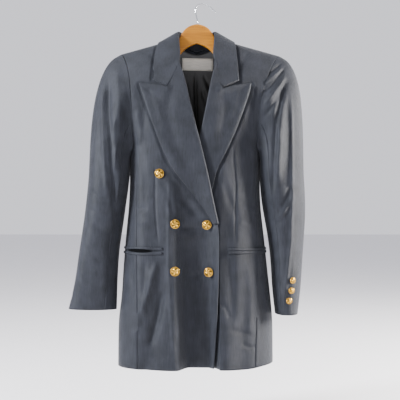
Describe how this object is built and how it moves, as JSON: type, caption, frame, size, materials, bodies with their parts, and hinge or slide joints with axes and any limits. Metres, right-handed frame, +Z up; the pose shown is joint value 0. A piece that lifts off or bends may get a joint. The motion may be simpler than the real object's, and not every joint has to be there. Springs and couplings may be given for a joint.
{
  "type": "double breasted blazer on a wooden hanger",
  "caption": "Long double breasted blazer with peak lapels, jetted pockets and metal buttons, hung on a contoured wooden hanger with a metal hook.",
  "frame": {"origin": "inside of the top of the hanger's hook, where a rail holds it", "axes": "+Z up along the hanging blazer, -Y out of its front, +X towards the wearer's left"},
  "size_m": [0.5704, 0.1957, 0.8743],
  "materials": {
    "wool": "fine wool twill",
    "lining": "satin lining",
    "label": "woven satin",
    "gilt_buttons": "polished gilt",
    "beech": "varnished",
    "plated_steel": "polished"
  },
  "bodies": {
    "root": {"front_right": "wool", "front_left": "wool", "back_right": "wool", "back_left": "wool", "side_right": "wool", "side_left": "wool", "lapel_right": "wool", "lapel_left": "wool", "collar": "wool", "sleeve_top_right": "wool", "sleeve_under_right": "wool", "sleeve_top_left": "wool", "sleeve_under_left": "wool", "jet_upper_right": "wool", "jet_lower_right": "wool", "jet_upper_left": "wool", "jet_lower_left": "wool", "lining_back": "lining", "neck_label": "label", "button_top_right": "gilt_buttons", "button_upper_right": "gilt_buttons", "button_upper_left": "gilt_buttons", "button_lower_right": "gilt_buttons", "button_lower_left": "gilt_buttons", "cuff_button_right_1": "gilt_buttons", "cuff_button_right_2": "gilt_buttons", "cuff_button_right_3": "gilt_buttons", "cuff_button_left_1": "gilt_buttons", "cuff_button_left_2": "gilt_buttons", "cuff_button_left_3": "gilt_buttons", "hanger_body": "beech", "hanger_hook": "plated_steel"}
  },
  "joints": []
}
